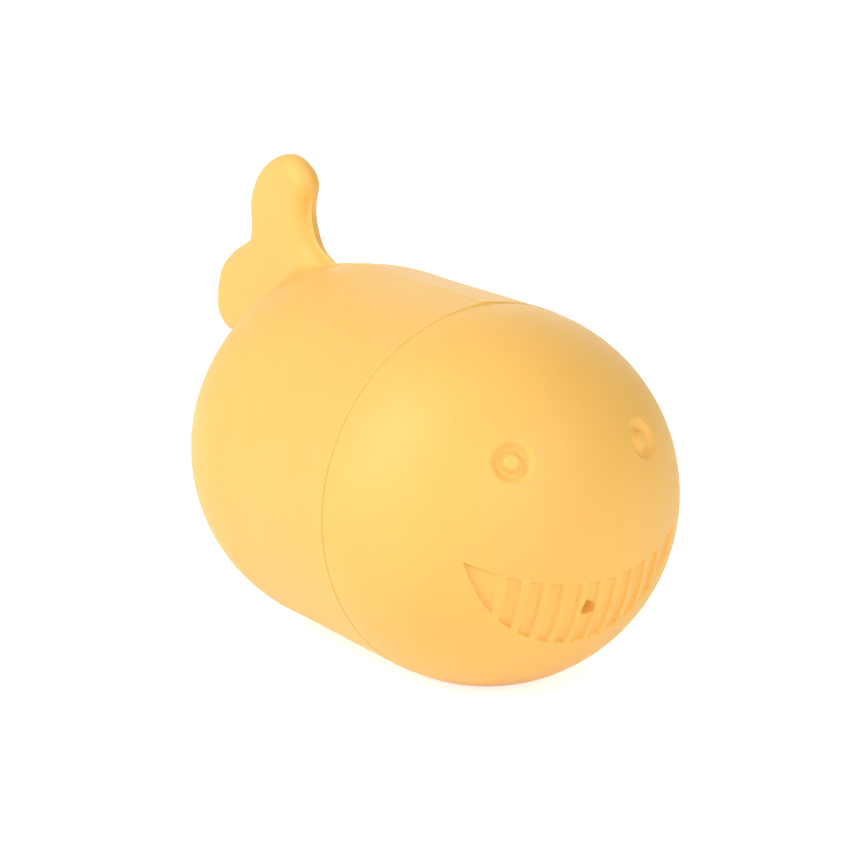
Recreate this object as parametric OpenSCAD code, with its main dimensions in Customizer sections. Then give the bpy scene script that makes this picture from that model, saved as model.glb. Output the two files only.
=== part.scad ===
// Whale bath toy: a head shell and a tail shell in soft silicone that plug together at a round neck,
// with a reed squeaker held behind the small hole in the mouth.
// The whale faces -Y, its back is up (+Z), and it stands on a small flat along its belly.

/* [Body] */
// Outer diameter at the seam between head and tail
body_d = 60; // [52:1:72]
// Straight land between the seam and the round of the head
head_land_l = 0.5; // [0.4:0.1:2]
// Length of the barrel behind the seam
barrel_l = 32; // [26:1:44]
// Loss of diameter along the barrel, from the seam to the round rear end
barrel_taper = 1.1; // [0:0.1:6]
// Wall of both shells
wall_t = 2.8; // [2.4:0.1:3.4]
// Depth of the flat along the belly
belly_flat_h = 1.2; // [0.6:0.1:1.5]

/* [Neck] */
// Length of the neck that plugs into the tail
neck_l = 9; // [6:0.5:12]
// Wall of the neck
neck_t = 2.1; // [1.6:0.1:2.8]
// Gap all round between the neck and its socket
neck_clearance = 0.1; // [0.05:0.01:0.3]
// Length over which the neck's inside runs out into the head
neck_blend_l = 5; // [3:0.5:7]
// Bevel on the rims that meet at the seam
seam_bevel = 0.4; // [0.2:0.1:0.4]

/* [Face] */
// Radius of an eye's ring, at the middle of its groove
eye_ring_r = 2.4; // [1.8:0.1:3.2]
// Radius of the eye groove's round section
eye_groove_r = 0.9; // [0.5:0.1:1.2]
// Angle from the snout to an eye
eye_polar = 35.4; // [30:0.1:42]
// Angle from the top of the head round to an eye
eye_spread = 43.8; // [30:0.1:55]
// Width of the mouth from corner to corner
mouth_w = 38.8; // [30:0.2:42]
// Drop of the mouth's corners below the body's axis
mouth_corner_drop = 2.4; // [1:0.1:5]
// Drop of the upper lip's middle below the body's axis
mouth_top_drop = 7.1; // [6:0.1:9]
// Drop of the lower lip's middle below the body's axis
mouth_bottom_drop = 17.5; // [15:0.1:20]
// Spacing of the mouth's grooves
groove_pitch = 3.2; // [2.8:0.1:3.6]
// Width of a groove
groove_w = 1.9; // [1.4:0.1:2.3]
// Depth of a groove
groove_depth = 0.8; // [0.4:0.1:1.2]
// Straight grooves on each side of the middle one
groove_side_count = 4; // [3:1:4]
// Diameter of the vent hole in the mouth
vent_d = 2.4; // [1.6:0.1:3.2]
// Drop of the vent hole below the body's axis
vent_drop = 11.6; // [10.5:0.1:12.5]

/* [Tail fin] */
// Reach of the fin behind the centre of the round rear end
fin_reach = 46; // [42:0.5:54]
// Height of the fin's top above the body's axis
fin_top = 44; // [41:0.5:52]
// Thickness of the fin
fin_t = 5.2; // [4:0.1:7]
// Reach of the fin's rounded edge onto its flat sides
fin_edge_l = 2; // [1.2:0.1:2.4]

/* [Squeaker] */
// Outer diameter of the squeaker's housing
housing_d = 12; // [11:0.1:13]
// Wall of the housing
housing_wall = 1.2; // [0.9:0.1:1.5]
// Thickness of the housing's front end
housing_front_t = 1.4; // [1:0.1:2]
// Diameter of the flange at the housing's back
flange_d = 15; // [14.6:0.1:16]
// Thickness of the flange
flange_t = 1.2; // [0.8:0.1:1.6]
// Distance from the seam forward to the bottom of the housing's seat
seat_depth = 20.5; // [19:0.5:21]
// Wall of the sleeve that holds the housing
sleeve_wall = 1.9; // [1.4:0.1:2.4]
// Gap all round between pieces that push together
push_clearance = 0.05; // [0.02:0.01:0.1]
// Length of the reed block's round plug
plug_l = 3.3; // [3:0.1:3.8]
// Length of the reed block's tongue
tongue_l = 5.5; // [4.5:0.1:5.6]
// Fall of the tongue's face towards its tip
tongue_fall = 0.45; // [0.4:0.05:0.8]
// Width of the air channel
channel_w = 2.2; // [1.6:0.1:2.6]
// Rim that closes the channel at the tongue's tip
channel_rim = 0.9; // [0.6:0.1:1.4]
// Height of the reed's seat above the housing's axis
reed_seat_h = 1; // [0.9:0.1:1.6]
// Width of the reed
reed_w = 4.2; // [3.4:0.1:5]
// Thickness of the reed
reed_t = 0.25; // [0.15:0.01:0.4]
// Length of the reed's root inside the block
reed_root_l = 2.4; // [1.8:0.1:2.6]
// Gap round the reed's root in its slot
reed_clearance = 0.08; // [0.07:0.01:0.12]
// Reed's end short of the tongue's tip
reed_setback = 0.4; // [0.2:0.1:0.8]
// Gap between the tongue's tip and the cap's plug
cap_gap = 0.7; // [0.4:0.1:1.2]
// Length of the cap's plug
cap_plug_l = 1.8; // [1.2:0.1:2]
// Diameter of the cap's rim
cap_d = 13; // [12:0.1:14]
// Thickness of the cap's rim
cap_t = 1.2; // [0.8:0.1:1.6]
// Diameter of an inlet hole in the cap
inlet_d = 1.5; // [1:0.1:1.8]
// Radius of the circle that the inlet holes stand on
inlet_ring_r = 2.8; // [2.4:0.1:3.2]
// Number of inlet holes
inlet_count = 6; // [4:1:6]

/* [Hidden] */
$fn = 128;

// How far a cut runs past the faces that it opens
overrun = 1;

body_r = body_d / 2;
barrel_end_r = body_r - barrel_taper / 2;
head_inner_r = body_r - wall_t;
socket_r = body_r - wall_t;
neck_r = socket_r - neck_clearance;
neck_inner_r = neck_r - neck_t;
dome_inner_r = barrel_end_r - wall_t;
belly_drop = body_r - belly_flat_h;

vent_r = vent_d / 2;
housing_r = housing_d / 2;
housing_bore_r = housing_r - housing_wall;
sleeve_bore_r = housing_r + push_clearance;
sleeve_r = sleeve_bore_r + sleeve_wall;
block_r = housing_bore_r - push_clearance;
block_front_y = -seat_depth + housing_front_t;
tongue_y = block_front_y + plug_l;
tongue_tip_y = tongue_y + tongue_l;
cap_front_y = tongue_tip_y + cap_gap;
flange_back_y = cap_front_y + cap_plug_l;
sleeve_back_y = flange_back_y - flange_t;
reed_bottom_h = reed_seat_h + reed_clearance;
reed_root_y = tongue_y - reed_root_l + reed_clearance;
reed_tip_y = tongue_tip_y - reed_setback;

// Outline of the fin in the plane of symmetry, from the back of the body up the front edge, over the
// upper lobe, through the notch, round the lower lobe and back through the body's inside: shares of
// fin_reach and of fin_top, from the centre of the round rear end.
fin_outline_shares = [
    [0.18, 0.61], [0.28, 0.64], [0.37, 0.69], [0.41, 0.79], [0.39, 0.88], [0.395, 0.925], [0.43, 0.97],
    [0.515, 1], [0.62, 0.97], [0.71, 0.90], [0.76, 0.80], [0.76, 0.70], [0.775, 0.635], [0.865, 0.575],
    [0.95, 0.52], [0.995, 0.43], [1, 0.32], [0.945, 0.25], [0.86, 0.24], [0.76, 0.25], [0.69, 0.20],
    [0.64, 0.12], [0.60, 0.04], [0.52, -0.02], [0.35, -0.02], [0.16, 0.10], [0.04, 0.30], [0.05, 0.50],
    [0.10, 0.575]];
// Point inside the fin that its flat sides run out from
fin_centre_shares = [0.61, 0.545];
// Steps of the outline's curve between two of its points
fin_curve_steps = 3;
// Angle between the rows of points round the fin's edge
fin_edge_step = 30;

fin_half_t = fin_t / 2;
fin_knots = [for (s = fin_outline_shares) [s[0] * fin_reach, s[1] * fin_top]];
fin_centre = [fin_centre_shares[0] * fin_reach, fin_centre_shares[1] * fin_top];
fin_outline = smooth_loop(fin_knots, fin_curve_steps);

// The origin is under the middle of the whale's length, at the belly flat
front_y = -head_land_l - body_r;
back_y = barrel_l + max([for (p = fin_outline) p[0]]);
middle_y = (front_y + back_y) / 2;

// Closed smooth curve through all points of a loop
function smooth_loop(points, steps) = [
    for (i = [0 : len(points) - 1], j = [0 : steps - 1])
        smooth_point(points, i, j / steps)];

function smooth_point(points, i, t) =
    let (n = len(points), a = points[(i + n - 1) % n], b = points[i], c = points[(i + 1) % n],
         d = points[(i + 2) % n])
    (2 * b + (c - a) * t + (2 * a - 5 * b + 4 * c - d) * t ^ 2 + (3 * b - a - 3 * c + d) * t ^ 3) / 2;

// Loop drawn in by a distance, square to its own run
function drawn_in(loop, distance) = [
    for (i = [0 : len(loop) - 1])
        let (n = len(loop), run = loop[(i + 1) % n] - loop[(i + n - 1) % n])
        loop[i] + distance * [run[1], -run[0]] / norm(run)];

module place() {
    translate([0, -middle_y, belly_drop]) children();
}

// Turns a profile, drawn as radius and place along Y, about the body's axis
module revolved() {
    rotate([-90, 0, 0]) rotate_extrude() children();
}

// Round bar along Y from one place to another
module bar(r, from_y, to_y) {
    translate([0, from_y, 0]) rotate([-90, 0, 0]) cylinder(r = r, h = to_y - from_y);
}

// The squeaker's own axis, in line with the vent hole
module on_vent_axis() {
    translate([0, 0, -vent_drop]) children();
}

// Half disc on the positive side of the axis, ahead of or behind its centre
module half_disc(r, side) {
    intersection() {
        circle(r = r);
        translate([0, side > 0 ? 0 : -r]) square(r);
    }
}

module belly_cut() {
    translate([-body_r, front_y, -body_r - overrun])
        cube([body_d, back_y - front_y, belly_flat_h + overrun]);
}

module head_outer_profile() {
    polygon([[0, -head_land_l], [body_r, -head_land_l], [body_r, -seam_bevel],
             [body_r - seam_bevel, 0], [0, 0]]);
    translate([0, -head_land_l]) half_disc(body_r, -1);
    translate([0, -head_land_l]) square([neck_r, neck_l + head_land_l]);
}

// Inside of the head: a round hollow that narrows through a short cone into the neck
module head_inner_profile() {
    blend_y = -head_land_l - neck_blend_l;
    blend_r = sqrt(head_inner_r ^ 2 - neck_blend_l ^ 2);
    polygon([[0, blend_y], [blend_r, blend_y], [neck_inner_r, -head_land_l],
             [neck_inner_r, neck_l + overrun], [0, neck_l + overrun]]);
    translate([0, -head_land_l]) intersection() {
        half_disc(head_inner_r, -1);
        translate([0, -head_inner_r]) square([head_inner_r, head_inner_r - neck_blend_l]);
    }
}

// Radius of an arc from its half chord and its rise
function arc_r(half_chord, rise) = (half_chord ^ 2 + rise ^ 2) / (2 * rise);

// Smile between two arcs through the same corners
module mouth_outline() {
    upper_r = arc_r(mouth_w / 2, mouth_top_drop - mouth_corner_drop);
    lower_r = arc_r(mouth_w / 2, mouth_bottom_drop - mouth_corner_drop);
    difference() {
        translate([0, lower_r - mouth_bottom_drop]) circle(r = lower_r);
        translate([0, upper_r - mouth_top_drop]) circle(r = upper_r);
    }
}

// Grooves of the mouth: a row of straight ones, and an open pocket at each corner
module mouth_grooves() {
    pocket_x = (groove_side_count + 1) * groove_pitch - groove_w / 2;
    intersection() {
        mouth_outline();
        union() {
            for (i = [-groove_side_count : groove_side_count])
                translate([i * groove_pitch - groove_w / 2, -body_r]) square([groove_w, body_r]);
            for (side = [-1, 1])
                translate([side > 0 ? pocket_x : -body_r, -body_r]) square([body_r - pocket_x, body_r]);
        }
    }
}

module mouth_cut() {
    translate([0, -head_land_l, 0]) difference() {
        rotate([90, 0, 0]) linear_extrude(body_r + overrun) mouth_grooves();
        sphere(r = body_r - groove_depth);
    }
}

// Ring groove that leaves a round pupil standing
module eye_cut(side) {
    translate([0, -head_land_l, 0]) rotate([0, side * eye_spread, 0]) rotate([90 - eye_polar, 0, 0])
        translate([0, 0, body_r]) rotate_extrude() translate([eye_ring_r, 0]) circle(r = eye_groove_r);
}

// Sleeve inside the head that grips the squeaker, run out to the shell behind the mouth
module sleeve() {
    intersection() {
        on_vent_axis() bar(sleeve_r, front_y, sleeve_back_y);
        translate([0, -head_land_l, 0]) sphere(r = head_inner_r + wall_t / 2);
    }
}

module head_shell() {
    color([0.96, 0.76, 0.36]) place() difference() {
        union() {
            difference() {
                revolved() head_outer_profile();
                revolved() head_inner_profile();
            }
            sleeve();
        }
        on_vent_axis() bar(sleeve_bore_r, -seat_depth, sleeve_back_y + overrun);
        on_vent_axis() bar(vent_r, front_y - overrun, -seat_depth + overrun);
        mouth_cut();
        for (side = [-1, 1]) eye_cut(side);
        belly_cut();
    }
}

module tail_outer_profile() {
    polygon([[0, 0], [body_r - seam_bevel, 0], [body_r, seam_bevel],
             [barrel_end_r, barrel_l], [0, barrel_l]]);
    translate([0, barrel_l]) half_disc(barrel_end_r, 1);
}

// Inside of the tail: a straight socket for the neck, then an even wall
module tail_inner_profile() {
    polygon([[0, -overrun], [socket_r, -overrun], [socket_r, neck_l + neck_clearance],
             [dome_inner_r, barrel_l], [0, barrel_l]]);
    translate([0, barrel_l]) half_disc(dome_inner_r, 1);
}

// Tail fin: a plate with two lobes and a rounded edge, in rows of points from one flat side to the other
module fin() {
    rows = [for (a = [-90 : fin_edge_step : 90])
        [for (p = drawn_in(fin_outline, fin_edge_l * (1 - cos(a)))) [fin_half_t * sin(a), p[0], p[1]]]];
    n = len(fin_outline);
    last = (len(rows) - 1) * n;
    centres = [for (side = [-1, 1]) [side * fin_half_t, fin_centre[0], fin_centre[1]]];
    right_centre = len(rows) * n;
    edge_faces = [for (row = [0 : len(rows) - 2], i = [0 : n - 1])
        let (a = row * n + i, b = row * n + (i + 1) % n)
        each [[a, b, b + n], [a, b + n, a + n]]];
    side_faces = [for (i = [0 : n - 1])
        let (j = (i + 1) % n)
        each [[right_centre, j, i], [right_centre + 1, last + i, last + j]]];
    translate([0, barrel_l, 0])
        polyhedron(concat([for (row = rows) each row], centres), concat(edge_faces, side_faces));
}

module tail_shell() {
    color([0.96, 0.76, 0.36]) place() difference() {
        union() {
            revolved() tail_outer_profile();
            fin();
        }
        revolved() tail_inner_profile();
        belly_cut();
    }
}

module squeaker_housing() {
    color([0.93, 0.93, 0.9]) place() on_vent_axis() difference() {
        union() {
            bar(housing_r, -seat_depth, sleeve_back_y);
            bar(flange_d / 2, sleeve_back_y, flange_back_y);
        }
        bar(housing_bore_r, block_front_y, flange_back_y + overrun);
        bar(vent_r, -seat_depth - overrun, block_front_y + overrun);
    }
}

// Side view of the reed block: a round plug with a tongue whose face falls away to the tip
module block_side() {
    polygon([[block_front_y, -block_r], [tongue_tip_y, -block_r], [tongue_tip_y, reed_seat_h - tongue_fall],
             [tongue_y, reed_seat_h], [tongue_y, block_r], [block_front_y, block_r]]);
}

module reed_block() {
    channel_r = channel_w / 2;
    channel_h = reed_seat_h - tongue_fall - channel_r;
    slot_h = reed_t + 2 * reed_clearance;
    slot_w = reed_w + 2 * reed_clearance;
    channel_end_y = tongue_tip_y - channel_rim;
    color([0.86, 0.87, 0.85]) place() on_vent_axis() difference() {
        intersection() {
            bar(block_r, block_front_y, tongue_tip_y);
            rotate([90, 0, 90]) translate([0, 0, -block_r]) linear_extrude(2 * block_r) block_side();
        }
        translate([0, 0, channel_h]) bar(channel_r, block_front_y - overrun, channel_end_y);
        translate([-channel_r, tongue_y, channel_h])
            cube([channel_w, channel_end_y - tongue_y, reed_seat_h]);
        translate([-slot_w / 2, tongue_y - reed_root_l, reed_seat_h])
            cube([slot_w, reed_root_l + overrun, slot_h]);
    }
}

// Thin strip with a round free end
module reed() {
    round_y = reed_tip_y - reed_w / 2;
    color([0.80, 0.84, 0.86]) place() on_vent_axis() translate([0, 0, reed_bottom_h])
        linear_extrude(reed_t) {
            translate([-reed_w / 2, reed_root_y]) square([reed_w, round_y - reed_root_y]);
            translate([0, round_y]) circle(d = reed_w);
        }
}

module squeaker_cap() {
    cap_plug_r = housing_bore_r - push_clearance;
    color([0.93, 0.93, 0.9]) place() on_vent_axis() difference() {
        union() {
            bar(cap_plug_r, cap_front_y, flange_back_y);
            bar(cap_d / 2, flange_back_y, flange_back_y + cap_t);
        }
        for (i = [0 : inlet_count - 1])
            rotate([0, i * 360 / inlet_count, 0]) translate([inlet_ring_r, 0, 0])
                bar(inlet_d / 2, cap_front_y - overrun, flange_back_y + cap_t + overrun);
    }
}

head_shell();
tail_shell();
squeaker_housing();
reed_block();
reed();
squeaker_cap();
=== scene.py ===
import math

import bmesh
import bpy
import numpy as np
from mathutils import Matrix, Vector
from mathutils.geometry import delaunay_2d_cdt


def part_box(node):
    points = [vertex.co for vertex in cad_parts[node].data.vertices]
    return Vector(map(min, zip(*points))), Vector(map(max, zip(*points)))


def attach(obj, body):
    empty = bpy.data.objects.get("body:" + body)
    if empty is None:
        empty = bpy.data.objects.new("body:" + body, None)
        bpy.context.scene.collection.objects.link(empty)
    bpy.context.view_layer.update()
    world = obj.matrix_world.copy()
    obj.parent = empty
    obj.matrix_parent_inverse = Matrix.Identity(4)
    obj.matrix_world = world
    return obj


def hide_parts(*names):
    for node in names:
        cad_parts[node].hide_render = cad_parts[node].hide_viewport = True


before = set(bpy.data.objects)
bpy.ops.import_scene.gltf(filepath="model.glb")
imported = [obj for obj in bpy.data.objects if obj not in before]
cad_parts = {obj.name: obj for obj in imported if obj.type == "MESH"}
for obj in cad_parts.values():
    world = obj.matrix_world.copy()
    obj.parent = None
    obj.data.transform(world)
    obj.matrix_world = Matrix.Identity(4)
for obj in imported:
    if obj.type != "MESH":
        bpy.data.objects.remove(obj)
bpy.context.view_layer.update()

# Sizes below are in millimetres, drawn from the middle of the seam between head and tail:
# -Y runs to the snout, +Z to the back, and X across.
MM = 0.001
head_low, head_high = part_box("head_shell")
tail_low, tail_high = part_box("tail_shell")
BODY_R = (head_high.x - head_low.x) / 2 / MM
SEAM = Vector((0, tail_low.y, head_high.z - BODY_R * MM))
NECK_L = (head_high.y - SEAM.y) / MM
BELLY_Z = -SEAM.z / MM
BELLY_ROUND = 0.8

# Body: the round head and the tail's barrel with its domed end, the neck in its socket, and the rims
LAND_L = 0.5
BARREL_L = 32.0
BARREL_END_R = 29.45
WALL_T = 2.8
HOLLOW_R = BODY_R - WALL_T
SOCKET_GAP = 0.1
NECK_T = 2.1
NECK_R = HOLLOW_R - SOCKET_GAP
NECK_INNER_R = NECK_R - NECK_T
NECK_ROUND = 0.6
NECK_FOOT = 0.3
NECK_BLEND_START = 1.5
NECK_BLEND_END = -8.0
HEAD_RIM_ROUND = 0.3
TAIL_RIM_ROUND = 0.3
LIP_H = 0.08
LIP_W = 0.8

# Steps of the turned forms, and the degrees up to which the tail's inner dome is turned before its tip
BODY_SEGMENTS = 192
HEAD_DOME_STEPS = 30
STRETCH_STEPS = 12
LIP_STEPS = 14
TAIL_RIM_STEPS = 8
TAIL_DOME_STEPS = 24
TAIL_DOME_END = 88

# Face: ring eyes, the mouth between two arcs, the grooves in it, and the vent hole with its rounded edge
FACE_R = 20.8
EYE_POLAR = math.radians(35.4)
EYE_SPREAD = math.radians(43.8)
EYE_DEPTH = 0.9
EYE_PUPIL_R = 0.9
EYE_FLOOR_R = (1.9, 2.15)
EYE_OUTER_R = 3.45
MOUTH_W = 38.8
MOUTH_CORNER_DROP = 2.4
MOUTH_TOP_DROP = 7.1
MOUTH_BOTTOM_DROP = 17.5
GROOVE_PITCH = 3.2
GROOVE_W = 1.9
GROOVE_DEPTH = 0.6
GROOVES_A_SIDE = 4
GROOVE_EDGE = 0.17
GROOVE_FOOT = 0.15
VENT_R = 1.2
VENT_INNER_R = 0.6
VENT_TAPER_Y = -25.6
VENT_DROP = 11.6
VENT_ROUND = 0.4
VENT_SEGMENTS = 48
VENT_RING_SHARES = (0, 0.1, 0.4, 1)
VENT_CLEAR_SHARE = 1.4

# Mesh of the face: the finest cell, how fast cells grow away from a detail, and the margin round one
FACE_CELL = 0.16
FACE_LEVELS = 8
FACE_GROWTH = 0.35
DETAIL_MARGIN = 0.7
LEAST_CELL = 1.01 * FACE_CELL
MERGE_DISTANCE = 0.001 * FACE_CELL

# Sleeve that holds the squeaker inside the head
SLEEVE_R = 7.95
SLEEVE_BORE_R = 6.05
SLEEVE_END_Y = -9.0
SLEEVE_SEAT_Y = -20.5
SLEEVE_ROUND = 0.4
SLEEVE_FOOT = 1.2
SLEEVE_FOOT_STEPS = 5
SEAT_HOLE_R = 1.8
HOLLOW_RING_R = 22.0
HOLLOW_STEPS = 10

# Tail fin: outline in the plane of symmetry as shares of its reach and its top, from the dome's centre
FIN_REACH = (tail_high.y - SEAM.y) / MM - BARREL_L
FIN_TOP = (tail_high.z - SEAM.z) / MM
FIN_OUTLINE_SHARES = (
    (0.18, 0.61), (0.28, 0.64), (0.37, 0.69), (0.41, 0.79), (0.39, 0.88), (0.395, 0.925), (0.43, 0.97),
    (0.515, 1.0), (0.62, 0.97), (0.71, 0.90), (0.76, 0.80), (0.76, 0.70), (0.775, 0.635), (0.865, 0.575),
    (0.95, 0.52), (0.995, 0.43), (1.0, 0.32), (0.945, 0.25), (0.86, 0.24), (0.76, 0.25), (0.69, 0.20),
    (0.64, 0.12), (0.60, 0.04), (0.52, -0.02), (0.35, -0.02), (0.16, 0.10), (0.04, 0.30), (0.05, 0.50),
    (0.10, 0.575))
FIN_CURVE_STEPS = 4
FIN_HALF_T = 2.6
FIN_EDGE_L = 3.2

# Fin's root: it spreads softly over the dome, less so near the outline and on the parting line, and it
# grows to its full width over an inset from the outline and over a height from its lower end
FIN_SPREAD = 0.2
FIN_BLEND = 4.5
FIN_EDGE_BLEND = 1.0
FIN_LINE_BLEND = 0.4
FIN_BLEND_INSET = (0.0, 4.0)
FIN_BLEND_Z = (-2.0, 17.0)

# Parting line of the tail's mould: a low keel with a fine raised line on it, which gets higher on the fin.
# Both fade out at the fin's top and at the belly
PARTING_H = 0.3
PARTING_W = 3.5
FLASH_W = 0.25
FLASH_H = (0.08, 0.32)
FLASH_RISE_Y = (36.0, 43.0)
PARTING_TOP_Z = (40.5, 36.0)
PARTING_BELLY_Z = (-27.0, -20.0)

# Mesh of the tail: where it starts behind the seam, its cells, and finer ones beside the parting line
NET_START_Y = 6.0
NET_CELL = 0.6
NET_MARGIN = 2 * NET_CELL
PARTING_CELLS = (0.1, 0.3, 0.6, 1.0, 1.5)


def smooth_step(value, start, end):
    t = np.clip((value - start) / (end - start), 0, 1)
    return t * t * (3 - 2 * t)


def smooth_min(a, b, reach):
    """Lesser of two values, rounded off where they differ by less than reach"""
    share = np.clip(0.5 + 0.5 * (b - a) / reach, 0, 1)
    return b + (a - b) * share - reach * share * (1 - share)


def even_angles(count):
    return [2 * math.pi * i / count for i in range(count)]


def arc(centre_r, centre_y, radius, start, end, steps=5):
    """Points of (radius, y) along an arc; 0 degrees points outward and 90 degrees towards the tail"""
    angles = [math.radians(start + (end - start) * i / steps) for i in range(steps + 1)]
    return [(centre_r + radius * math.cos(a), centre_y + radius * math.sin(a)) for a in angles]


class Skin:
    """Points and faces of one closed mesh, in millimetres from the seam"""

    def __init__(self):
        self.points = []
        self.faces = []

    def add(self, points):
        first = len(self.points)
        self.points.extend(tuple(p) for p in points)
        return list(range(first, len(self.points)))

    def band(self, ring, following):
        """Faces from a closed ring to the next, which may have a whole fraction of the first one's points"""
        ratio = len(ring) // len(following)
        for i in range(len(following)):
            j = (i + 1) % len(following)
            fan = [ring[(i * ratio + k) % len(ring)] for k in range(ratio + 1)]
            if ratio == 1:
                self.faces.append((fan[0], fan[1], following[j], following[i]))
            else:
                self.faces.extend((fan[k], fan[k + 1], following[i]) for k in range(ratio))
                self.faces.append((fan[-1], following[j], following[i]))

    def turn(self, profile, angles, ring, centre_z=0.0, swell=None):
        """Turns a profile of (radius, y) about an axis along Y, on from a ring, and gives the last ring"""
        across, up = np.sin(angles), np.cos(angles)
        for r, y in profile:
            radii = r + (swell(r * across) if swell else 0 * across)
            along = np.full(len(across), y)
            following = self.add(np.stack((radii * across, along, centre_z + radii * up), 1))
            self.band(ring, following)
            ring = following
        return ring

    def close(self, ring, point):
        tip = self.add([point])[0]
        self.faces.extend((a, b, tip) for a, b in zip(ring, ring[1:] + ring[:1]))

    def piece(self, name, body, node, material, creases=()):
        """Smooth object in place of a CAD node, with the belly pressed flat and sharp edges along creases"""
        points = np.array(self.points)
        points[:, 2] = -smooth_min(-points[:, 2], -BELLY_Z, BELLY_ROUND)
        mesh = bpy.data.meshes.new(name)
        mesh.from_pydata((points * MM + np.array(SEAM)).tolist(), [], self.faces)
        surface = bmesh.new()
        surface.from_mesh(mesh)
        bmesh.ops.recalc_face_normals(surface, faces=surface.faces)
        for face in surface.faces:
            face.smooth = True
        for edge in surface.edges:
            edge.smooth = not all(end.index in creases for end in edge.verts)
        surface.to_mesh(mesh)
        surface.free()
        piece = bpy.data.objects.new(name, mesh)
        bpy.context.scene.collection.objects.link(piece)
        mesh.materials.append(material)
        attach(piece, body)
        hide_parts(node)
        return piece


def sphere_y(x, z, r):
    """Front of a sphere round the head's centre"""
    return -LAND_L - np.sqrt(np.maximum(r * r - x * x - z * z, 0))


def lip_arc(drop):
    """Radius and centre height of the arc through the mouth's corners and a drop in its middle"""
    rise = drop - MOUTH_CORNER_DROP
    radius = ((MOUTH_W / 2) ** 2 + rise ** 2) / (2 * rise)
    return radius, radius - drop


def mouth_distance(x, z):
    """Distance to the mouth's outline, negative inside"""
    upper_r, upper_z = lip_arc(MOUTH_TOP_DROP)
    lower_r, lower_z = lip_arc(MOUTH_BOTTOM_DROP)
    return np.maximum(np.hypot(x, z - lower_z) - lower_r, upper_r - np.hypot(x, z - upper_z))


def groove_distance(x, z):
    """Distance to the edge of the nearest groove in the mouth, negative inside"""
    middle = np.clip(np.round(x / GROOVE_PITCH), -GROOVES_A_SIDE, GROOVES_A_SIDE) * GROOVE_PITCH
    straight = np.abs(x - middle) - GROOVE_W / 2
    corner = (GROOVES_A_SIDE + 1) * GROOVE_PITCH - GROOVE_W / 2 - np.abs(x)
    return np.maximum(mouth_distance(x, z), np.minimum(straight, corner))


def eye_distance(x, z):
    """Distance from the axis of the eye on the same side"""
    outward_y = sphere_y(x, z, BODY_R) + LAND_L
    across = math.sin(EYE_POLAR) * math.sin(EYE_SPREAD)
    up = math.sin(EYE_POLAR) * math.cos(EYE_SPREAD)
    along = np.abs(x) * across - outward_y * math.cos(EYE_POLAR) + z * up
    return np.sqrt(np.maximum(BODY_R ** 2 - along ** 2, 0))


def vent_distance(x, z):
    return np.hypot(x, z + VENT_DROP)


def face_points(x, z):
    """Face over points across and up: the round of the head with mouth, eyes and vent worked into it"""
    outer_y = sphere_y(x, z, BODY_R)
    groove = smooth_step(groove_distance(x, z), GROOVE_EDGE, -GROOVE_FOOT)
    y = outer_y + groove * (sphere_y(x, z, BODY_R - GROOVE_DEPTH) - outer_y)
    from_eye = eye_distance(x, z)
    inner_wall = smooth_step(from_eye, EYE_PUPIL_R, EYE_FLOOR_R[0])
    outer_wall = smooth_step(from_eye, EYE_OUTER_R, EYE_FLOOR_R[1])
    sink = 1 - EYE_DEPTH * (inner_wall * outer_wall) / BODY_R
    turn_in = np.clip((VENT_R + VENT_ROUND - vent_distance(x, z)) / VENT_ROUND, 0, 1)
    y = y + VENT_ROUND * (1 - np.sqrt(1 - turn_in ** 2))
    return np.stack((x * sink, (y + LAND_L) * sink - LAND_L, z * sink), 1)


def face_cell(x, z):
    """Size of the face's mesh cells: fine on the mouth and the eyes, growing away from them"""
    away = np.minimum(mouth_distance(x, z), eye_distance(x, z) - EYE_OUTER_R)
    return LEAST_CELL + FACE_GROWTH * np.maximum(away - DETAIL_MARGIN, 0)


def graded_grid(cell, levels):
    """Corners of the squares that a large square splits into, down to a cell, as face_cell asks"""
    span = 2 ** levels
    half = span * cell / 2
    quarter = np.array(((0, 0), (1, 0), (0, 1), (1, 1)))
    squares = np.zeros((1, 2), int)
    corners = []
    while len(squares):
        x, z = ((squares + span / 2) * cell - half).T
        split = (face_cell(x, z) < span * cell) & (span > 1)
        corners.extend(squares[~split] + span * q for q in quarter)
        span //= 2
        squares = np.concatenate([squares[split] + span * q for q in quarter])
    return np.unique(np.concatenate(corners), axis=0) * cell - half


def flat_ring(r, count, centre_z=0.0):
    angles = np.array(even_angles(count))
    return np.stack((r * np.sin(angles), centre_z + r * np.cos(angles)), 1)


def face_skin(skin):
    """Front of the head with its vent hole; gives the rings at its outer edge and round the vent"""
    grid = graded_grid(FACE_CELL, FACE_LEVELS)
    half_gap = math.pi * FACE_R / BODY_SEGMENTS
    inside = np.hypot(grid[:, 0], grid[:, 1]) < FACE_R - half_gap
    clear = vent_distance(grid[:, 0], grid[:, 1]) > VENT_R + VENT_CLEAR_SHARE * VENT_ROUND
    rim = flat_ring(FACE_R, BODY_SEGMENTS)
    vent_radii = [VENT_R + share * VENT_ROUND for share in VENT_RING_SHARES]
    vent_rings = [flat_ring(r, VENT_SEGMENTS, -VENT_DROP) for r in vent_radii]
    flat = np.concatenate([rim] + vent_rings + [grid[inside & clear]])
    first = len(rim)
    vent_edges = [(first + i, first + (i + 1) % VENT_SEGMENTS) for i in range(VENT_SEGMENTS)]
    cut = delaunay_2d_cdt([Vector(p) for p in flat], vent_edges, [], 0, MERGE_DISTANCE)
    flat = np.array([tuple(p) for p in cut[0]])
    numbers = skin.add(face_points(flat[:, 0], flat[:, 1]))
    for face in cut[2]:
        middle = flat[list(face)].mean(0)
        if vent_distance(middle[0], middle[1]) > VENT_R:
            skin.faces.append(tuple(numbers[i] for i in face))
    return numbers[:first], numbers[first:first + VENT_SEGMENTS]


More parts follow.
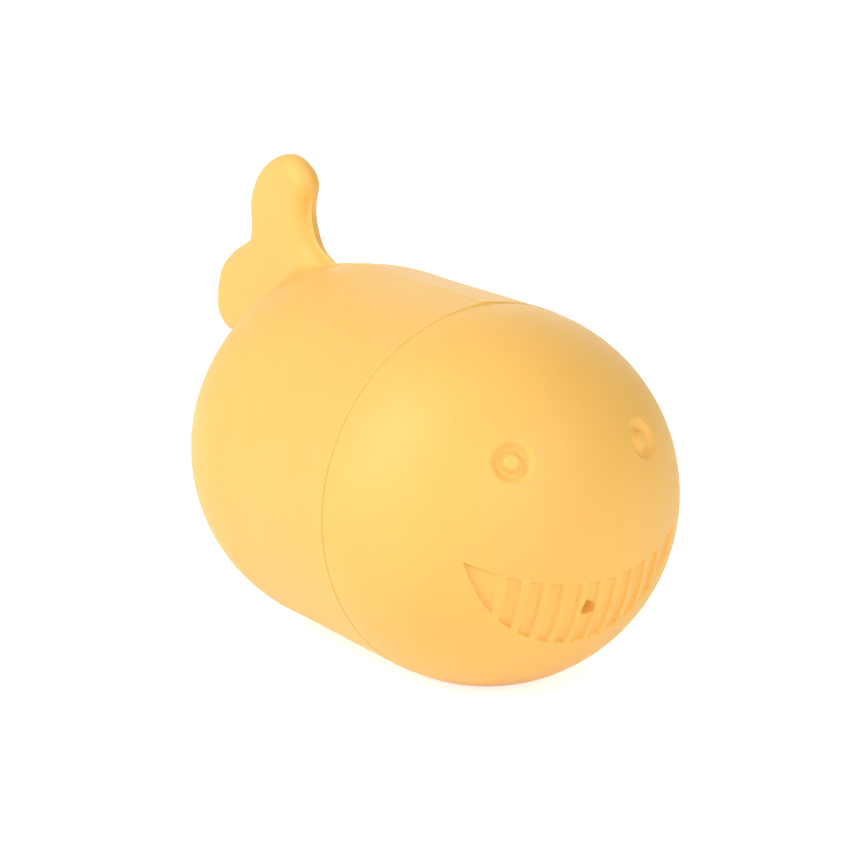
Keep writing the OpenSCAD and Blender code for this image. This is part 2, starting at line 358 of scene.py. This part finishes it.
def hollow_radius(y):
    return math.sqrt(HOLLOW_R ** 2 - (y + LAND_L) ** 2)


def neck_inside(y):
    """Inside radius of the neck, which runs out smoothly into the round hollow"""
    share = float(smooth_step(y, NECK_BLEND_START, NECK_BLEND_END))
    return NECK_INNER_R + share * (hollow_radius(y) - NECK_INNER_R)


def head_profile():
    """Head from the face's edge back to the seam, along the neck, and in again to the hollow"""
    start = math.degrees(math.asin(FACE_R / BODY_R))
    dome = arc(0, -LAND_L, BODY_R, start - 90, 0, HEAD_DOME_STEPS)[1:]
    rim = arc(BODY_R - HEAD_RIM_ROUND, -HEAD_RIM_ROUND, HEAD_RIM_ROUND, 0, 90)
    foot = arc(NECK_R + NECK_FOOT, NECK_FOOT, NECK_FOOT, 270, 180)
    end = arc(NECK_R - NECK_ROUND, NECK_L - NECK_ROUND, NECK_ROUND, 0, 90)
    inner_end = arc(NECK_INNER_R + NECK_ROUND, NECK_L - NECK_ROUND, NECK_ROUND, 90, 180)
    blend_places = np.linspace(NECK_BLEND_START, NECK_BLEND_END, STRETCH_STEPS + 1)
    blend = [(neck_inside(y), y) for y in blend_places]
    hollow_start = math.degrees(math.asin((NECK_BLEND_END + LAND_L) / HOLLOW_R))
    hollow_end = -math.degrees(math.acos(HOLLOW_RING_R / HOLLOW_R))
    hollow = arc(0, -LAND_L, HOLLOW_R, hollow_start, hollow_end, STRETCH_STEPS)[1:]
    return dome + rim + foot + end + inner_end + blend + hollow


def hollow_skin(skin, ring):
    """Front of the hollow, from a ring round the body's axis to the foot of the sleeve"""
    outer = flat_ring(HOLLOW_RING_R, BODY_SEGMENTS)
    inner = flat_ring(SLEEVE_R + SLEEVE_FOOT, BODY_SEGMENTS, -VENT_DROP)
    for step in range(1, HOLLOW_STEPS + 1):
        x, z = (outer + (inner - outer) * step / HOLLOW_STEPS).T
        following = skin.add(np.stack((x, sphere_y(x, z, HOLLOW_R), z), 1))
        skin.band(ring, following)
        ring = following
    for t in np.linspace(0, math.pi / 2, SLEEVE_FOOT_STEPS + 1)[1:]:
        x, z = flat_ring(SLEEVE_R + SLEEVE_FOOT * (1 - math.sin(t)), BODY_SEGMENTS, -VENT_DROP).T
        y = sphere_y(x, z, HOLLOW_R) + SLEEVE_FOOT * (1 - math.cos(t))
        following = skin.add(np.stack((x, y, z), 1))
        skin.band(ring, following)
        ring = following
    return ring


def sleeve_profile():
    """Sleeve from its foot out to its open end and back in to the seat and the vent"""
    outer = arc(SLEEVE_R - SLEEVE_ROUND, SLEEVE_END_Y - SLEEVE_ROUND, SLEEVE_ROUND, 0, 90)
    inner = arc(SLEEVE_BORE_R + SLEEVE_ROUND, SLEEVE_END_Y - SLEEVE_ROUND, SLEEVE_ROUND, 90, 180)
    seat = [(SLEEVE_BORE_R, SLEEVE_SEAT_Y), (SEAT_HOLE_R, SLEEVE_SEAT_Y)]
    return outer + inner + seat


def make_head(material):
    skin = Skin()
    angles = even_angles(BODY_SEGMENTS)
    rim, vent = face_skin(skin)
    ring = skin.turn(head_profile(), angles, rim)
    ring = hollow_skin(skin, ring)
    ring = skin.turn(sleeve_profile(), angles, ring, -VENT_DROP)
    channel = [(VENT_INNER_R, SLEEVE_SEAT_Y), (VENT_INNER_R, VENT_TAPER_Y)]
    ring = skin.turn(channel, even_angles(VENT_SEGMENTS), ring, -VENT_DROP)
    skin.band(ring, vent)
    return skin.piece("head_skin", "head", "head_shell", material)


def smooth_loop(knots, steps):
    """Closed smooth curve through all knots"""
    before, after, second = np.roll(knots, 1, 0), np.roll(knots, -1, 0), np.roll(knots, -2, 0)
    rows = []
    for t in np.arange(steps) / steps:
        bend = 2 * before - 5 * knots + 4 * after - second
        twist = 3 * knots - before - 3 * after + second
        rows.append((2 * knots + (after - before) * t + bend * t ** 2 + twist * t ** 3) / 2)
    return np.stack(rows, 1).reshape(-1, 2)


FIN_KNOTS = np.array(FIN_OUTLINE_SHARES) * (FIN_REACH, FIN_TOP) + (BARREL_L, 0)
FIN_OUTLINE = smooth_loop(FIN_KNOTS, FIN_CURVE_STEPS)


def outline_distance(y, z):
    """Distance to the fin's outline in the plane of symmetry, negative inside"""
    least = np.full(np.broadcast(y, z).shape, np.inf)
    inside = np.zeros(least.shape, bool)
    for a, b in zip(FIN_OUTLINE, np.roll(FIN_OUTLINE, -1, 0)):
        run = b - a
        share = np.clip(((y - a[0]) * run[0] + (z - a[1]) * run[1]) / (run @ run), 0, 1)
        least = np.minimum(least, np.hypot(y - a[0] - share * run[0], z - a[1] - share * run[1]))
        spans = (a[1] > z) != (b[1] > z)
        side = (z - a[1]) * run[0] - (y - a[0]) * run[1]
        inside ^= spans & (side * run[1] > 0)
    return np.where(inside, -least, least)


def barrel_radius(y):
    """Outer radius of the tail's barrel, level at the seam and where the dome starts"""
    middle = (BODY_R + BARREL_END_R) / 2
    return middle + (BODY_R - middle) * np.cos(math.pi * np.clip(y / BARREL_L, 0, 1))


def parting_share(z):
    """How much of the parting line is left, which fades out at the fin's top and at the belly"""
    return smooth_step(z, *PARTING_TOP_Z) * smooth_step(z, *PARTING_BELLY_Z)


def parting_ridge(x, y=0.0, z=0.0):
    """Height of the parting line's keel and of the fine line on it, which is higher on the fin"""
    keel = PARTING_H * np.exp(-np.abs(x) / PARTING_W)
    height = FLASH_H[0] + (FLASH_H[1] - FLASH_H[0]) * smooth_step(y, *FLASH_RISE_Y)
    return (keel + height * np.exp(-(x / FLASH_W) ** 2)) * parting_share(z)


def tail_field(x, y, z):
    """Negative inside the tail's outer form: barrel and dome with the fin blended in, and a parting line"""
    r = np.hypot(x, z)
    ridge = parting_ridge(x, y, z)
    body = np.hypot(r, np.maximum(y - BARREL_L, 0)) - barrel_radius(y) - ridge
    within = -outline_distance(y, z) - PARTING_H * parting_share(z)
    edge = np.maximum(FIN_EDGE_L - within, 0) * FIN_HALF_T / FIN_EDGE_L
    fin = (np.hypot(edge, x) - FIN_HALF_T - ridge) * FIN_SPREAD
    fullness = smooth_step(within, *FIN_BLEND_INSET) * smooth_step(z, *FIN_BLEND_Z)
    root = FIN_EDGE_BLEND + (FIN_BLEND - FIN_EDGE_BLEND) * fullness
    blend = FIN_LINE_BLEND + (root - FIN_LINE_BLEND) * smooth_step(np.abs(x), 0, FIN_HALF_T)
    return smooth_min(body, fin, blend)


def net_axes():
    """Places of the grid's planes across, along and up, with a cell's middle on the parting line"""
    back, top = FIN_OUTLINE.max(0) + NET_MARGIN
    side = BODY_R + NET_MARGIN
    half = np.concatenate((PARTING_CELLS, np.arange(PARTING_CELLS[-1] + NET_CELL, side, NET_CELL)))
    across = np.concatenate((-half[::-1], half))
    return across, np.arange(NET_START_Y, back, NET_CELL), np.arange(-side, top, NET_CELL)


def surface_net(field, axes):
    """Quads over the zero level of a sampled field, one point in each crossed cell, and each point's cell"""
    cells = tuple(n - 1 for n in field.shape)
    total = np.zeros(cells + (3,))
    count = np.zeros(cells, int)
    around = []
    for axis in range(3):
        low = np.take(field, range(cells[axis]), axis)
        high = np.take(field, range(1, cells[axis] + 1), axis)
        spots = np.argwhere((low < 0) != (high < 0))
        at_low, at_high = low[tuple(spots.T)], high[tuple(spots.T)]
        points = np.stack([axes[k][spots[:, k]] for k in range(3)], 1)
        step = np.diff(axes[axis])[spots[:, axis]]
        points[:, axis] += step * at_low / (at_low - at_high)
        others = [k for k in range(3) if k != axis]
        corners = []
        for da, db in ((0, 0), (1, 0), (1, 1), (0, 1)):
            cell = spots.copy()
            cell[:, others[0]] -= da
            cell[:, others[1]] -= db
            corners.append(cell)
            valid = np.all((cell >= 0) & (cell < cells), 1)
            np.add.at(total, tuple(cell[valid].T), points[valid])
            np.add.at(count, tuple(cell[valid].T), 1)
        around.append(np.stack(corners, 1))
    crossed = np.argwhere(count > 0)
    number = np.full(cells, -1)
    number[tuple(crossed.T)] = np.arange(len(crossed))
    quads = np.concatenate(around)
    whole = np.all((quads >= 0) & (quads < cells), (1, 2))
    quads = number[tuple(np.moveaxis(quads[whole], 2, 0))]
    points = total[tuple(crossed.T)] / count[tuple(crossed.T)][:, None]
    return points, quads, crossed


def drawn_to_level(points, field, steps=3, reach=0.02, least=0.01):
    """Moves points along a field's slope onto its zero level"""
    for _ in range(steps):
        ahead = np.stack([field(*(points + reach * d).T) for d in np.eye(3)], 1)
        behind = np.stack([field(*(points - reach * d).T) for d in np.eye(3)], 1)
        slope = (ahead - behind) / (2 * reach)
        steepness = np.maximum((slope ** 2).sum(1), least)
        points = points - slope * (field(*points.T) / steepness)[:, None]
    return points


def lip_profile():
    """Tail's outside from the net forward to the crest of its raised lip"""
    places = np.linspace(NET_START_Y, TAIL_RIM_ROUND, LIP_STEPS + 1)[1:]
    lip = LIP_H * np.exp(-((places - TAIL_RIM_ROUND) / LIP_W) ** 2)
    return list(zip(barrel_radius(places) + lip, places))


def socket_profile():
    """Tail from the crest of its lip over the rim and in along the socket to the dome's inside"""
    crest_r = lip_profile()[-1][0]
    rim = arc(crest_r - TAIL_RIM_ROUND, TAIL_RIM_ROUND, TAIL_RIM_ROUND, 0, -90, TAIL_RIM_STEPS)[1:]
    inner_rim = arc(HOLLOW_R + NECK_FOOT, NECK_FOOT, NECK_FOOT, -90, -180)
    socket_end = NECK_L + SOCKET_GAP
    dome_r = BARREL_END_R - WALL_T
    inside = [(HOLLOW_R, socket_end), ((HOLLOW_R + dome_r) / 2, (socket_end + BARREL_L) / 2)]
    dome = arc(0, BARREL_L, dome_r, 0, TAIL_DOME_END, TAIL_DOME_STEPS)
    return rim + inner_rim + inside + dome


def make_tail(material):
    axes = net_axes()
    field = tail_field(*np.meshgrid(*axes, indexing="ij", sparse=True))
    # The first two layers are made alike, so that the net starts with one clean ring
    field[:, 0] = field[:, 1]
    points, quads, cells = surface_net(field, axes)
    points = drawn_to_level(points, tail_field)
    # Points on the parting line go right into the plane of symmetry
    points[np.abs(points[:, 0]) < PARTING_CELLS[0] / 2, 0] = 0
    # The first ring is set on the barrel, from where the lip, the rim and the inside are turned
    first = np.flatnonzero(cells[:, 1] == 0)
    angles = np.arctan2(points[first, 0], points[first, 2]) % (2 * math.pi)
    first = first[np.argsort(angles)]
    angles = np.sort(angles)
    ring_r = barrel_radius(NET_START_Y) + parting_ridge(points[first, 0])
    along = np.full(len(first), NET_START_Y)
    points[first] = np.stack((ring_r * np.sin(angles), along, ring_r * np.cos(angles)), 1)
    skin = Skin()
    numbers = skin.add(points)
    skin.faces.extend(tuple(q) for q in quads.tolist())
    ring = skin.turn(lip_profile(), angles, [numbers[i] for i in first], swell=parting_ridge)
    creases = {i for i, point in enumerate(skin.points) if abs(point[0]) < PARTING_CELLS[0] / 2}
    ring = skin.turn(socket_profile(), angles, ring)
    skin.close(ring, (0, BARREL_L + BARREL_END_R - WALL_T, 0))
    return skin.piece("tail_skin", "tail", "tail_shell", material, creases)


# Places on a noise's scale where a clouded colour reaches its two shades
CLOUD_STOPS = (0.3, 0.7)


class Nodes:
    """Short way to build a material's nodes"""

    def __init__(self, name):
        self.material = bpy.data.materials.new(name)
        self.material.use_nodes = True
        self.tree = self.material.node_tree
        self.shader = self.tree.nodes["Principled BSDF"]

    def add(self, kind, **settings):
        node = self.tree.nodes.new(kind)
        for key, value in settings.items():
            if hasattr(node, key):
                setattr(node, key, value)
            else:
                node.inputs[key.replace("_", " ")].default_value = value
        return node

    def link(self, source, target):
        self.tree.links.new(source, target)

    def noise(self, scale, detail=2.0, roughness=0.5):
        place = self.add("ShaderNodeTexCoord").outputs["Object"]
        node = self.add("ShaderNodeTexNoise", Scale=scale, Detail=detail, Roughness=roughness)
        self.link(place, node.inputs["Vector"])
        return node.outputs["Fac"]

    def clouded(self, factor, low, high):
        """Base colour that drifts between two shades"""
        node = self.add("ShaderNodeValToRGB")
        for element, place, colour in zip(node.color_ramp.elements, CLOUD_STOPS, (low, high)):
            element.position = place
            element.color = (*colour, 1)
        self.link(factor, node.inputs["Fac"])
        self.link(node.outputs["Color"], self.shader.inputs["Base Color"])

    def rough(self, factor, low, high):
        """Roughness that drifts between two values"""
        node = self.add("ShaderNodeMapRange")
        node.inputs["To Min"].default_value = low
        node.inputs["To Max"].default_value = high
        self.link(factor, node.inputs["Value"])
        self.link(node.outputs["Result"], self.shader.inputs["Roughness"])

    def bump(self, height, distance, strength):
        """Fine relief, with its height in metres"""
        node = self.add("ShaderNodeBump", Strength=strength, Distance=distance)
        self.link(height, node.inputs["Height"])
        self.link(node.outputs["Normal"], self.shader.inputs["Normal"])

    def set(self, **sockets):
        for key, value in sockets.items():
            self.shader.inputs[key.replace("_", " ")].default_value = value


def silicone():
    """Matte soft-touch silicone: warm yellow, faintly clouded, with a fine skin and a soft pale sheen"""
    m = Nodes("silicone")
    m.clouded(m.noise(90, 3), low=(0.975, 0.545, 0.112), high=(0.985, 0.56, 0.122))
    m.rough(m.noise(700, 3), low=0.46, high=0.6)
    m.bump(m.noise(4500, 3, 0.6), distance=0.00003, strength=0.15)
    m.set(Subsurface_Weight=0.3, Subsurface_Radius=(1.0, 0.8, 0.4), Subsurface_Scale=0.0015)
    m.set(Specular_IOR_Level=0.6, Sheen_Weight=0.05, Sheen_Roughness=0.45, Sheen_Tint=(1, 0.9, 0.78, 1))
    return m.material


def capsule_plastic():
    """Smooth white moulded plastic, faintly clouded"""
    m = Nodes("capsule_plastic")
    m.clouded(m.noise(160), low=(0.84, 0.84, 0.81), high=(0.88, 0.88, 0.85))
    m.rough(m.noise(500), low=0.22, high=0.34)
    m.bump(m.noise(1800), distance=0.00002, strength=0.25)
    return m.material


def block_plastic():
    """Satin pale grey plastic of the reed block"""
    m = Nodes("block_plastic")
    m.clouded(m.noise(200), low=(0.70, 0.72, 0.70), high=(0.75, 0.76, 0.74))
    m.rough(m.noise(900), low=0.4, high=0.55)
    m.bump(m.noise(2500), distance=0.00002, strength=0.3)
    return m.material


def reed_film():
    """Thin blue-grey film of the reed, faintly mottled"""
    m = Nodes("reed_film")
    m.clouded(m.noise(1200), low=(0.60, 0.68, 0.72), high=(0.65, 0.72, 0.76))
    m.rough(m.noise(2000), low=0.3, high=0.45)
    m.bump(m.noise(3000), distance=0.00001, strength=0.3)
    return m.material


def dress_nodes(material, *names):
    """Puts a material on CAD nodes that show as they are"""
    for name in names:
        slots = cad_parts[name].data.materials
        slots.clear()
        slots.append(material)


# Camera: where the photograph was taken from, seen from the middle of the seam
CAMERA_AZIMUTH = math.radians(-34.129)
CAMERA_ELEVATION = math.radians(15.934)
CAMERA_ROLL = math.radians(0.143)
CAMERA_DISTANCE = 0.7136
FRAME_PX = 850
SEAM_PX = (485.0, 492.3)
SEAM_PX_PER_M = 6428.4
SENSOR_MM = 36.0
CLIP_START = 0.01


def make_camera():
    """Camera turned so that the middle of the seam falls on its pixel in the photograph"""
    focal_px = SEAM_PX_PER_M * CAMERA_DISTANCE
    a, e = CAMERA_AZIMUTH, CAMERA_ELEVATION
    right = Vector((math.cos(a), math.sin(a), 0))
    back = Vector((math.sin(a) * math.cos(e), -math.cos(a) * math.cos(e), math.sin(e)))
    axes = Matrix((right, back.cross(right), back)).transposed()
    yaw = math.atan((SEAM_PX[0] - FRAME_PX / 2) / focal_px)
    pitch = math.atan((SEAM_PX[1] - FRAME_PX / 2) / focal_px)
    roll = Matrix.Rotation(CAMERA_ROLL, 3, "Z")
    turn = roll @ Matrix.Rotation(yaw, 3, "Y") @ Matrix.Rotation(pitch, 3, "X")
    data = bpy.data.cameras.new("camera")
    data.sensor_width = SENSOR_MM
    data.lens = SENSOR_MM * focal_px / FRAME_PX
    data.clip_start = CLIP_START
    camera = bpy.data.objects.new("camera", data)
    camera.matrix_world = Matrix.Translation(SEAM + back * CAMERA_DISTANCE) @ (axes @ turn).to_4x4()
    bpy.context.scene.collection.objects.link(camera)
    bpy.context.scene.camera = camera


# Soft lamps round the object: name, azimuth from the snout towards the whale's right, elevation, watts
LAMPS = (
    ("front", 10, 20, 4.8), ("front_high", 345, 40, 2.0), ("side", 105, 15, 2.8), ("side_high", 105, 40, 6.9),
    ("back", 224, 18, 2.1))
LAMP_DISTANCE = 1.2
LAMP_SIZE = 0.9

# Surroundings: half the floor's width, what lifts it to white for the camera, the even light on the object,
# and the side on which what the object mirrors gets darker: where that starts and ends, and how bright it is
FLOOR_HALF = 4.0
FLOOR_LIFT = 0.65
WORLD_LIGHT = 0.33
DARK_SIDE = (0.8, -0.6, 0)
DARK_SIDE_RANGE = (0.0, 0.8, 1.0, 0.15)


def soft_light(name, azimuth, elevation, watts):
    data = bpy.data.lights.new(name, "AREA")
    data.shape = "DISK"
    data.size = LAMP_SIZE
    data.energy = watts
    lamp = bpy.data.objects.new(name, data)
    a, e = math.radians(azimuth), math.radians(elevation)
    towards = Vector((-math.sin(a) * math.cos(e), -math.cos(a) * math.cos(e), math.sin(e)))
    lamp.location = towards * LAMP_DISTANCE
    lamp.rotation_euler = towards.to_track_quat("Z", "Y").to_euler()
    bpy.context.scene.collection.objects.link(lamp)


def background_rays(tree):
    """One for rays from the camera, mirrors and glass, and none for the light that falls on the object"""
    path = tree.nodes.new("ShaderNodeLightPath")
    shown = path.outputs["Is Camera Ray"]
    for other in ("Is Glossy Ray", "Is Transmission Ray"):
        larger = tree.nodes.new("ShaderNodeMath")
        larger.operation = "MAXIMUM"
        tree.links.new(shown, larger.inputs[0])
        tree.links.new(path.outputs[other], larger.inputs[1])
        shown = larger.outputs[0]
    return shown


def make_floor():
    """Pale floor that keeps the shadow, lifted to white for the camera"""
    mesh = bpy.data.meshes.new("floor")
    corners = [(x * FLOOR_HALF, y * FLOOR_HALF, 0) for x, y in ((-1, -1), (1, -1), (1, 1), (-1, 1))]
    mesh.from_pydata(corners, [], [(0, 1, 2, 3)])
    floor = bpy.data.objects.new("floor", mesh)
    bpy.context.scene.collection.objects.link(floor)
    m = Nodes("floor_white")
    m.clouded(m.noise(3), low=(0.97, 0.97, 0.97), high=(0.985, 0.985, 0.985))
    m.set(Roughness=0.9, Specular_IOR_Level=0.0, Emission_Color=(1, 1, 1, 1))
    lift = m.add("ShaderNodeMath", operation="MULTIPLY")
    lift.inputs[1].default_value = FLOOR_LIFT
    m.link(background_rays(m.tree), lift.inputs[0])
    m.link(lift.outputs[0], m.shader.inputs["Emission Strength"])
    mesh.materials.append(m.material)


def make_world():
    """White surroundings, with their own strength for the light on the object and a darker side in mirrors"""
    world = bpy.data.worlds.new("studio")
    bpy.context.scene.world = world
    world.use_nodes = True
    back = world.node_tree.nodes["Background"]
    back.inputs["Color"].default_value = (1, 1, 1, 1)
    make = world.node_tree.nodes.new
    link = world.node_tree.links.new
    towards = make("ShaderNodeVectorMath")
    towards.operation = "DOT_PRODUCT"
    towards.inputs[1].default_value = DARK_SIDE
    link(make("ShaderNodeTexCoord").outputs["Generated"], towards.inputs[0])
    shown = make("ShaderNodeMapRange")
    for socket, value in zip(shown.inputs[1:5], DARK_SIDE_RANGE):
        socket.default_value = value
    link(towards.outputs["Value"], shown.inputs["Value"])
    strength = make("ShaderNodeMapRange")
    strength.inputs["To Min"].default_value = WORLD_LIGHT
    link(background_rays(world.node_tree), strength.inputs["Value"])
    link(shown.outputs["Result"], strength.inputs["To Max"])
    link(strength.outputs["Result"], back.inputs["Strength"])


make_camera()
rubber = silicone()
make_head(rubber)
make_tail(rubber)
dress_nodes(capsule_plastic(), "squeaker_housing", "squeaker_cap")
dress_nodes(block_plastic(), "reed_block")
dress_nodes(reed_film(), "reed")
make_floor()
make_world()
for lamp in LAMPS:
    soft_light(*lamp)

bpy.context.scene.view_settings.view_transform = "Standard"
